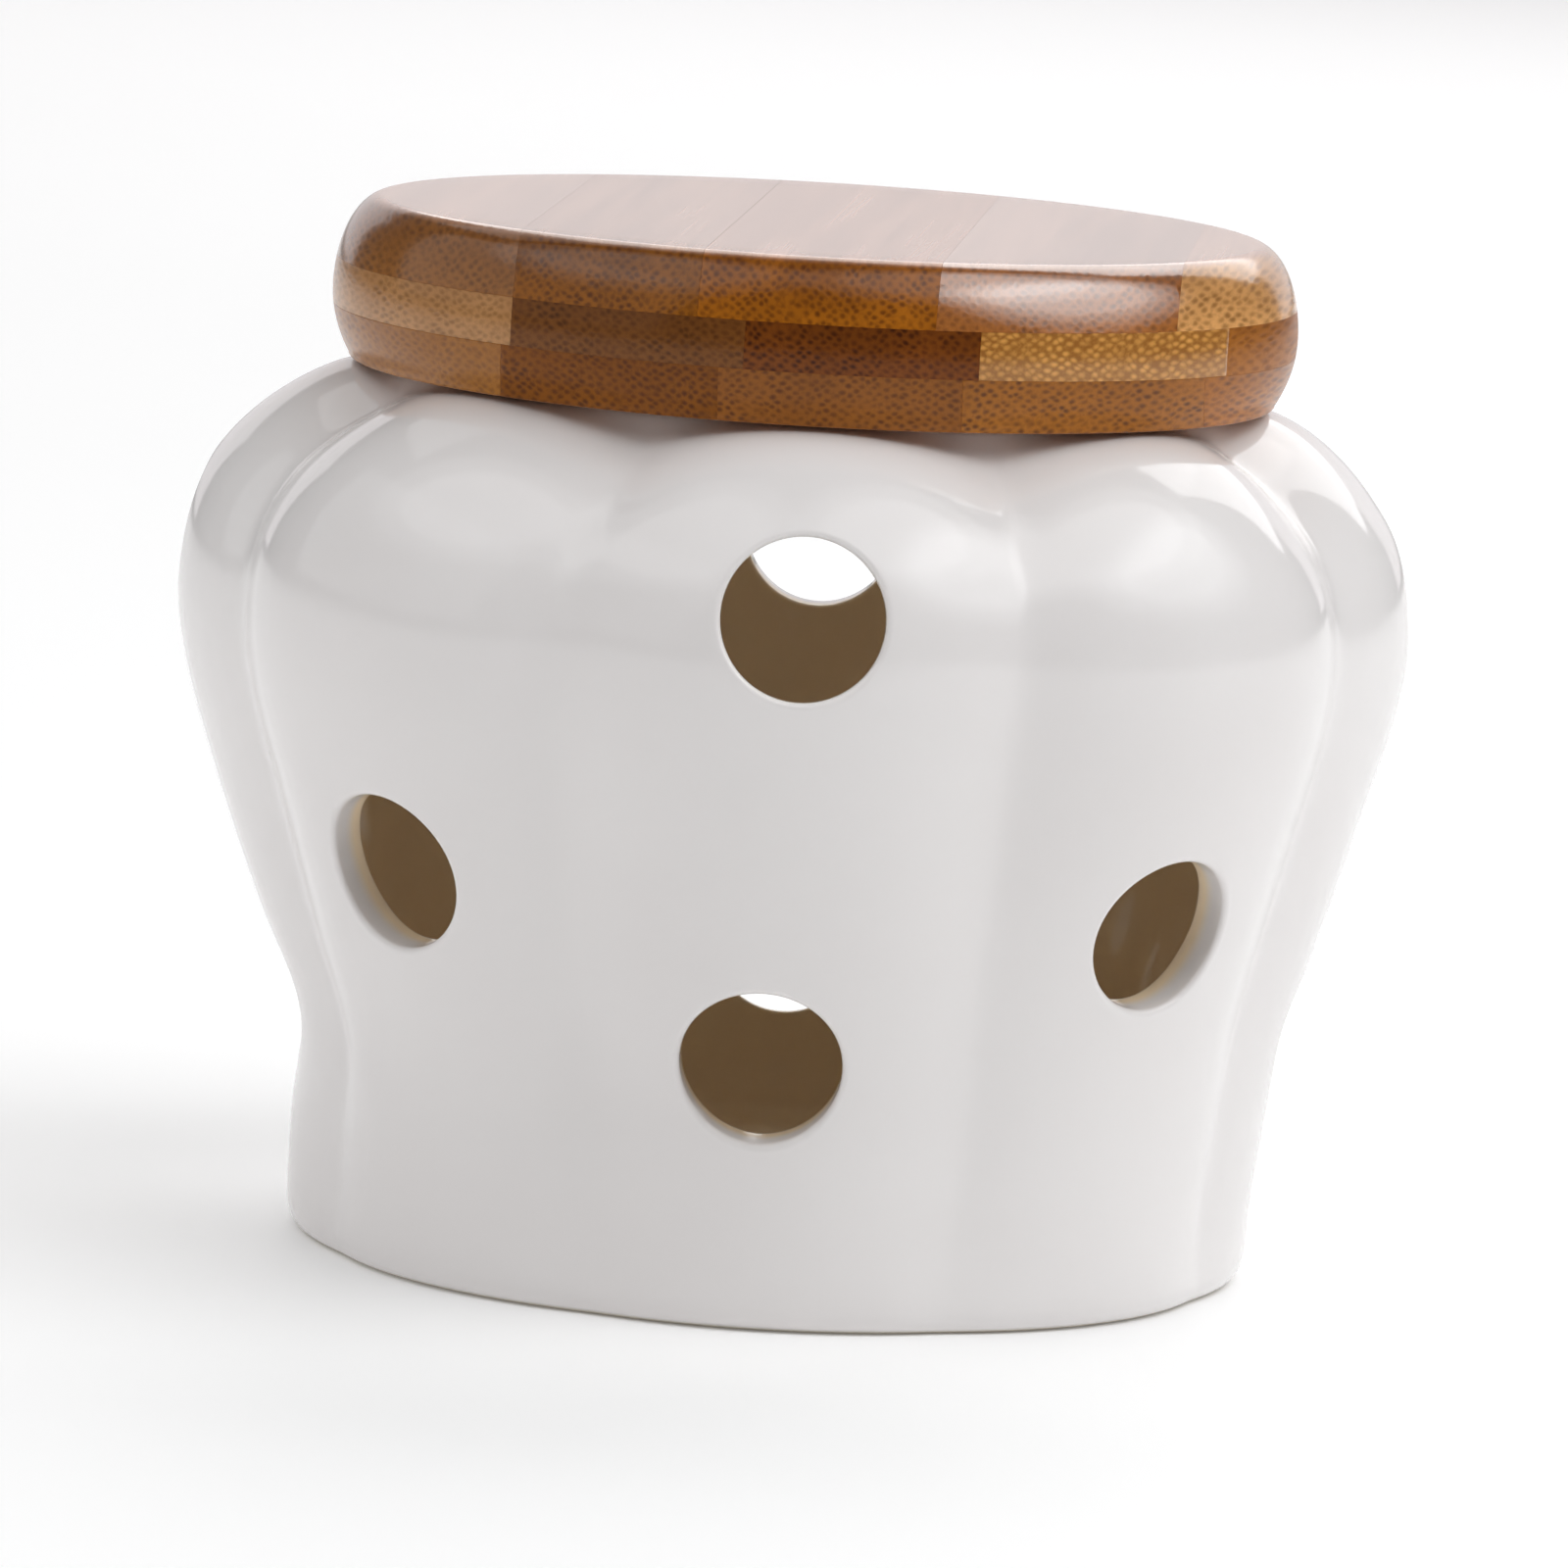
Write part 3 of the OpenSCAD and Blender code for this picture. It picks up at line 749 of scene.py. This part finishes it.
def mat_bamboo(name, light, dark, dots, seed, dot_strength=0.6, z0=0.0, z1=1.0, face=None, coat=(0.6, 1.5)):
    """Bamboo strip. light and dark: the two ends of the strip's tone, low and high in
    the ply, the light end partly painted sheen on the top ply; dots: the bundles; face: tone of the long grain on an
    upper or lower face;
    coat: how thick and how glossy the lacquer took."""
    m = Mat(name)
    co = m.node("ShaderNodeTexCoord")
    tc = co.outputs["Object"]
    # x across the strip, y along the fibres
    mp = m.node("ShaderNodeMapping", ins={"Vector": tc, "Rotation": (0, 0, STRIP_ANGLE), "Location": (0.013 * seed, 0.031 * seed, 0.007 * seed)}).outputs[0]
    x, y, z = m.node("ShaderNodeSeparateXYZ", ins={"Vector": mp}).outputs
    # the fibres stray a little along their length and across the section
    slow = m.node("ShaderNodeCombineXYZ", ins={"X": m.math("MULTIPLY", x, 230.0), "Y": m.math("MULTIPLY", y, 16.0), "Z": m.math("MULTIPLY", z, 230.0)}).outputs[0]
    stray = m.node("ShaderNodeTexNoise", ins={"Vector": slow, "Scale": 1.0, "Detail": 2.0}).outputs["Color"]
    sa, sb, _ = m.node("ShaderNodeSeparateXYZ", ins={"Vector": stray}).outputs
    wx = m.math("ADD", x, m.math("MULTIPLY", m.math("SUBTRACT", sa, 0.5), 0.0011))
    wz = m.math("ADD", z, m.math("MULTIPLY", m.math("SUBTRACT", sb, 0.5), 0.0011))
    # fibre bundles: a staggered lattice across the section, running along the strip
    vary = 0.5 + 0.5 * math.sin(12.9 * seed)
    px, pz = 1.0 / (0.00122 + 0.00014 * vary), 1.0 / (0.00112 - 0.00012 * vary)
    skew = 0.16 * math.sin(7.3 * seed)
    a = m.math("ADD", m.math("MULTIPLY", wx, px), m.math("MULTIPLY", wz, pz * (1 + skew)))
    c = m.math("SUBTRACT", m.math("MULTIPLY", wx, px), m.math("MULTIPLY", wz, pz * (1 - skew)))
    lat = m.node("ShaderNodeCombineXYZ", ins={"X": a, "Y": c}).outputs[0]
    dist = m.node("ShaderNodeTexVoronoi", voronoi_dimensions="2D", ins={"Vector": lat, "Scale": 1.0, "Randomness": 0.44}).outputs["Distance"]
    dot = m.math("SUBTRACT", 1.0, m.smooth(dist, 0.06, 0.54))
    # some places have faint bundles
    faint = m.node("ShaderNodeTexNoise", ins={"Vector": slow, "Scale": 1.7, "Detail": 1.0}).outputs["Fac"]
    dot = m.math("MULTIPLY", dot, m.node("ShaderNodeMapRange", ins={"Value": faint, "From Min": 0.3, "From Max": 0.7, "To Min": 0.38, "To Max": 1.0}).outputs[0])
    # long streaks
    st = m.node("ShaderNodeCombineXYZ", ins={"X": m.math("MULTIPLY", wx, 2100.0), "Y": m.math("MULTIPLY", y, 22.0), "Z": m.math("MULTIPLY", wz, 2100.0)}).outputs[0]
    streak = m.node("ShaderNodeTexNoise", ins={"Vector": st, "Scale": 1.0, "Detail": 2.0, "Roughness": 0.6}).outputs["Fac"]
    st2 = m.node("ShaderNodeCombineXYZ", ins={"X": m.math("MULTIPLY", wx, 170.0), "Y": m.math("MULTIPLY", y, 9.0), "Z": m.math("MULTIPLY", wz, 170.0)}).outputs[0]
    band = m.node("ShaderNodeTexNoise", ins={"Vector": st2, "Scale": 1.0, "Detail": 2.0}).outputs["Fac"]
    # tone runs lighter low in each ply to darker high in it; on the top ply the light lower end is partly painted
    # sheen, brightened for the lacquer's glare there
    high = m.node("ShaderNodeSeparateXYZ", ins={"Vector": tc}).outputs["Z"]
    t = m.node("ShaderNodeMapRange", ins={"Value": high, "From Min": z0 * MM, "From Max": z1 * MM}).outputs[0]
    t = m.math("ADD", m.math("MULTIPLY", t, 0.75), m.math("MULTIPLY", m.math("SUBTRACT", band, 0.5), 1.3), clamp=True)
    base = m.mix(t, light, dark)
    base = m.mix(m.math("MULTIPLY", m.smooth(streak, 0.40, 0.75), 0.30), base, dots)
    col = m.mix(m.math("MULTIPLY", dot, dot_strength), base, dots)
    if face:
        up = m.node("ShaderNodeSeparateXYZ", ins={"Vector": co.outputs["Normal"]}).outputs["Z"]
        flat = m.smooth(m.math("ABSOLUTE", up), 0.80, 0.97)
        long = m.mix(m.smooth(band, 0.36, 0.62), face[0], face[1])
        long = m.mix(m.math("MULTIPLY", m.smooth(streak, 0.30, 0.75), 0.45), long, face[2])
        col = m.mix(flat, col, long)
    h = m.math("SUBTRACT", m.math("MULTIPLY", streak, 0.5), m.math("MULTIPLY", dot, 0.9))
    bump = m.node("ShaderNodeBump", ins={"Strength": 0.55, "Distance": 0.00005, "Height": h}).outputs[0]
    rough = m.node("ShaderNodeMapRange", ins={"Value": streak, "To Min": 0.34, "To Max": 0.46}).outputs[0]
    m.set(Base_Color=col, Roughness=rough, Normal=bump)
    m.bsdf.inputs["IOR"].default_value = 1.45
    m.bsdf.inputs["Specular IOR Level"].default_value = 0.06
    soft = m.node("ShaderNodeBump", ins={"Strength": 0.14, "Distance": 0.00005, "Height": h}).outputs[0]
    m.set(Coat_Normal=soft)
    m.bsdf.inputs["Coat Weight"].default_value = coat[0]
    m.bsdf.inputs["Coat Roughness"].default_value = 0.15
    m.bsdf.inputs["Coat IOR"].default_value = coat[1]
    return m.m


def mat_silicone():
    m = Mat("silicone")
    tc = m.node("ShaderNodeTexCoord").outputs["Object"]
    n = m.node("ShaderNodeTexNoise", ins={"Vector": tc, "Scale": 900.0, "Detail": 2.0}).outputs["Fac"]
    col = m.mix(n, srgb(0.90, 0.90, 0.87), srgb(0.94, 0.94, 0.92))
    bump = m.node("ShaderNodeBump", ins={"Strength": 0.2, "Distance": 0.00003, "Height": n}).outputs[0]
    m.set(Base_Color=col, Normal=bump)
    m.bsdf.inputs["Roughness"].default_value = 0.42
    m.bsdf.inputs["Subsurface Weight"].default_value = 0.4
    m.bsdf.inputs["Subsurface Radius"].default_value = (0.002, 0.002, 0.0018)
    m.bsdf.inputs["Subsurface Scale"].default_value = 1.0
    return m.m


def mat_floor():
    m = Mat("floor")
    tc = m.node("ShaderNodeTexCoord").outputs["Object"]
    n = m.node("ShaderNodeTexNoise", ins={"Vector": tc, "Scale": 3.0}).outputs["Fac"]
    m.set(Base_Color=m.mix(n, srgb(0.975, 0.975, 0.975), srgb(0.985, 0.985, 0.985)))
    m.bsdf.inputs["Roughness"].default_value = 0.7
    m.bsdf.inputs["Specular IOR Level"].default_value = 0.2
    m.bsdf.inputs["Emission Color"].default_value = (1.0, 1.0, 1.0, 1.0)
    m.bsdf.inputs["Emission Strength"].default_value = L_GLOW
    return m.m


# ---------------------------------------------------------------------------
# build
# ---------------------------------------------------------------------------
pot = build_pot()
check_closed(pot)
pot.data.materials.append(mat_glaze())
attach(pot, "pot")
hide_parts("pot")

B = {
    # name: light end (partly painted sheen on the top ply), dark end, bundle colour (linear), bundle strength
    "lid_top_strip_1": ((0.320, 0.122, 0.024), (0.195, 0.066, 0.012), (0.098, 0.032, 0.007), 0.66),
    "lid_top_strip_2": ((0.290, 0.094, 0.006), (0.150, 0.046, 0.003), (0.070, 0.018, 0.002), 0.81),
    "lid_top_strip_3": ((0.410, 0.128, 0.007), (0.172, 0.049, 0.003), (0.074, 0.018, 0.002), 0.81),
    "lid_top_strip_4": ((0.455, 0.150, 0.024), (0.270, 0.082, 0.012), (0.120, 0.036, 0.006), 0.80),
    "lid_top_strip_5": ((0.784, 0.392, 0.131), (0.356, 0.160, 0.044), (0.192, 0.074, 0.014), 0.76),
    "lid_middle_strip_1": ((0.507, 0.249, 0.090), (0.362, 0.162, 0.054), (0.179, 0.077, 0.018), 0.71),
    "lid_middle_strip_2": ((0.215, 0.075, 0.014), (0.143, 0.048, 0.010), (0.056, 0.017, 0.003), 0.76),
    "lid_middle_strip_3": ((0.214, 0.058, 0.007), (0.132, 0.035, 0.004), (0.034, 0.007, 0.002), 0.90),
    "lid_middle_strip_4": ((0.352, 0.146, 0.028), (0.288, 0.106, 0.018), (0.750, 0.362, 0.084), 0.95),
    "lid_middle_strip_5": ((0.415, 0.148, 0.024), (0.316, 0.107, 0.016), (0.148, 0.044, 0.006), 0.80),
    "lid_bottom_strip_1": ((0.433, 0.164, 0.017), (0.321, 0.113, 0.011), (0.162, 0.052, 0.004), 0.71),
    "lid_bottom_strip_2": ((0.274, 0.084, 0.004), (0.199, 0.057, 0.003), (0.071, 0.018, 0.002), 0.85),
    "lid_bottom_strip_3": ((0.341, 0.110, 0.009), (0.251, 0.078, 0.006), (0.093, 0.025, 0.002), 0.85),
    "lid_bottom_strip_4": ((0.434, 0.146, 0.009), (0.313, 0.100, 0.005), (0.096, 0.028, 0.002), 0.90),
    "lid_bottom_strip_5": ((0.480, 0.155, 0.008), (0.344, 0.110, 0.005), (0.134, 0.037, 0.002), 0.85)}
COAT = {
    "bottom": [(0.60, 1.5), (0.28, 1.5), (0.38, 1.5), (0.45, 1.5), (0.47, 1.5)],
    "middle": [(0.70, 1.5), (0.35, 1.5), (0.25, 1.5), (0.90, 1.5), (0.22, 1.5)],
    "top": [(1.00, 1.55), (1.00, 1.40), (1.00, 1.40), (1.00, 2.25), (1.00, 1.62)]}
FACE = [(1.00, 1.00, 1.00), (0.92, 0.92, 0.92), (1.05, 1.02, 1.00), (0.96, 0.97, 1.00), (1.04, 1.04, 1.04)]
Z_OF = {"bottom": (LID_Z, LID_Z + PLY_BOTTOM), "middle": (LID_Z + PLY_BOTTOM, LID_Z + PLY_BOTTOM + PLY_MIDDLE),
        "top": (LID_Z + PLY_BOTTOM + PLY_MIDDLE, LID_Z + LID_H)}


def lin(c):
    return tuple(c) + (1.0,)


def shade(c, k):
    return tuple(a * b for a, b in zip(c, k)) + (1.0,)


seed = 1
for ply in ("bottom", "middle", "top"):
    for i in range(1, 6):
        node = "lid_%s_strip_%d" % (ply, i)
        ob = make_strip("bamboo_" + node, ply, i)
        lt, dk, dt, ds = B[node]
        ob.data.materials.clear()
        k = FACE[i - 1]
        face = (shade((0.500, 0.250, 0.140), k), shade((0.350, 0.160, 0.078), k), shade((0.230, 0.098, 0.043), k))
        ob.data.materials.append(mat_bamboo("mat_" + node, lin(lt), lin(dk), lin(dt), seed, ds, *Z_OF[ply], face=face, coat=COAT[ply][i - 1]))
        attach(ob, "lid")
        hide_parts(node)
        seed += 1

plug_low = LID_Z - PLUG_H
seat_hi = LID_Z - 1.2
seat_lo = seat_hi - SEAL_H - 2 * SEAL_RUN
plug = revolve("bamboo_plug", [(0, plug_low), (20, plug_low), (PLUG_R - 0.9, plug_low), (PLUG_R - 0.25, plug_low + 0.25), (PLUG_R, plug_low + 0.9),
                               (PLUG_R, seat_lo - 0.1), (PLUG_R - 0.1, seat_lo), (PLUG_R - SEAL_GROOVE, seat_lo), (PLUG_R - SEAL_GROOVE, seat_hi),
                               (PLUG_R - 0.1, seat_hi), (PLUG_R, seat_hi + 0.1), (PLUG_R, LID_Z), (0, LID_Z)], 256)
plug.data.polygons.foreach_set("use_smooth", [True] * len(plug.data.polygons))
sharp_by_angle(plug.data, 32)
plug.data.materials.append(mat_bamboo("mat_lid_plug", srgb(0.80, 0.66, 0.45), srgb(0.74, 0.58, 0.36), srgb(0.55, 0.38, 0.20), 21, 0.45, plug_low, LID_Z))
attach(plug, "lid")
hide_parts("lid_plug")

r0, r1, r2 = PLUG_R - SEAL_GROOVE + SEAL_RUN, PLUG_R + 0.2, MOUTH_R - SEAL_GAP
z0 = seat_lo + SEAL_RUN
pitch = SEAL_H / 3
prof = [(r0, z0)]
for i in range(3):
    zb_ = z0 + pitch * i
    prof += [(r1, zb_), (r1, zb_ + pitch * 0.12), (r1 + 0.35, zb_ + pitch * 0.22), (r2 - 0.12, zb_ + pitch * 0.40), (r2, zb_ + pitch * 0.48),
             (r2, zb_ + pitch * 0.56), (r2 - 0.12, zb_ + pitch * 0.62), (r1 + 0.35, zb_ + pitch * 0.80), (r1, zb_ + pitch * 0.88)]
prof += [(r1, z0 + SEAL_H), (r0, z0 + SEAL_H), (r0, z0)]


def revolve_ring(name, profile, segs):
    verts, faces = [], []
    n = len(profile) - 1
    for j in range(segs):
        a = 2 * math.pi * j / segs
        verts += [(r * MM * math.cos(a), r * MM * math.sin(a), z * MM) for r, z in profile[:-1]]
    for j in range(segs):
        k = (j + 1) % segs
        for i in range(n):
            i2 = (i + 1) % n
            faces.append((j * n + i, k * n + i, k * n + i2, j * n + i2))
    return new_object(name, verts, faces)


ringo = revolve_ring("silicone_ring", prof, 224)
sharp_by_angle(ringo.data, 50)
ringo.data.materials.append(mat_silicone())
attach(ringo, "seal")
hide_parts("seal_ring")

# ---------------------------------------------------------------------------
# studio
# ---------------------------------------------------------------------------
L_CORE, L_LEFT, L_HIGH_L, L_HIGH_R = 1.90, 0.40, 1.06, 1.38
L_OVER, L_REAR, L_BACK, L_WORLD, L_GLOW = 0.56, 1.9, 0.79, 0.042, 0.09
fl = bpy.data.meshes.new("floor")
fl.from_pydata([(-6, -6, 0), (6, -6, 0), (6, 9, 0), (-6, 9, 0)], [], [(0, 1, 2, 3)])
floor = bpy.data.objects.new("floor", fl)
bpy.context.scene.collection.objects.link(floor)
fl.materials.append(mat_floor())


def area(name, loc, to, sx, sy, watts, color=(1, 1, 1), shape="RECTANGLE"):
    d = bpy.data.lights.new(name, "AREA")
    d.shape = shape
    d.size, d.size_y = sx, sy
    d.energy = watts
    d.color = color
    o = bpy.data.objects.new(name, d)
    o.location = loc
    o.rotation_euler = (Vector(to) - Vector(loc)).to_track_quat("-Z", "Y").to_euler()
    bpy.context.scene.collection.objects.link(o)
    return o


def panel(name, az, el, d, half_w, half_h, radiance, color=(1, 1, 1), shape="RECTANGLE"):
    """A softbox facing the pot, seen from it at azimuth az and elevation el, with these half angles."""
    a, e = math.radians(az), math.radians(el)
    to = Vector((0, 0, 0.07))
    loc = to + Vector((math.sin(a) * math.cos(e), -math.cos(a) * math.cos(e), math.sin(e))) * d
    sx, sy = 2 * d * math.tan(math.radians(half_w)), 2 * d * math.tan(math.radians(half_h))
    k = math.pi / 4 if shape == "ELLIPSE" else 1.0
    return area(name, loc, to, sx, sy, radiance * math.pi * sx * sy * k, color, shape)


COOL = (0.975, 0.99, 1.0)
panel("softbox_core", 74, 37, 1.18, 31, 23, 0.34 * L_CORE, COOL, "ELLIPSE")
panel("softbox_mid", 74, 38, 1.16, 26, 19, 0.33 * L_CORE, COOL, "ELLIPSE")
panel("softbox_hot", 74, 39, 1.14, 21, 15, 0.50 * L_CORE, COOL, "ELLIPSE")
panel("window_left", -77, 26.5, 1.2, 41, 23.5, L_LEFT)
panel("high_left", -60, 55, 1.62, 34, 27, 0.50 * L_HIGH_L, (1, 1, 1), "ELLIPSE")
panel("high_left_mid", -60, 55, 1.6, 25, 20, 0.72 * L_HIGH_L, (1, 1, 1), "ELLIPSE")
panel("high_right", 56, 60, 1.62, 34, 25, 0.50 * L_HIGH_R, (1, 1, 1), "ELLIPSE")
panel("high_right_mid", 56, 60, 1.6, 25, 18, 0.72 * L_HIGH_R, (1, 1, 1), "ELLIPSE")
area("overhead", (0.0, 1.75, 2.0), (0.0, 1.75, 0.0), 2.8, 1.6, L_OVER * math.pi * 2.8 * 1.6)
panel("back_key", 164, 38, 2.2, 25, 20, L_REAR)
area("behind", (0.0, 2.6, 0.62), (0.0, 0.0, 0.62), 3.4, 1.1, L_BACK * math.pi * 3.4 * 1.1, (1.0, 0.957, 0.975))

w = bpy.data.worlds.new("studio")
bpy.context.scene.world = w
w.use_nodes = True
bg = w.node_tree.nodes["Background"]
bg.inputs[0].default_value = (1.0, 1.0, 1.0, 1.0)
bg.inputs[1].default_value = L_WORLD

vs = bpy.context.scene.view_settings
vs.view_transform = "Standard"
vs.look = "None"
vs.exposure = 0.0
vs.gamma = 1.0
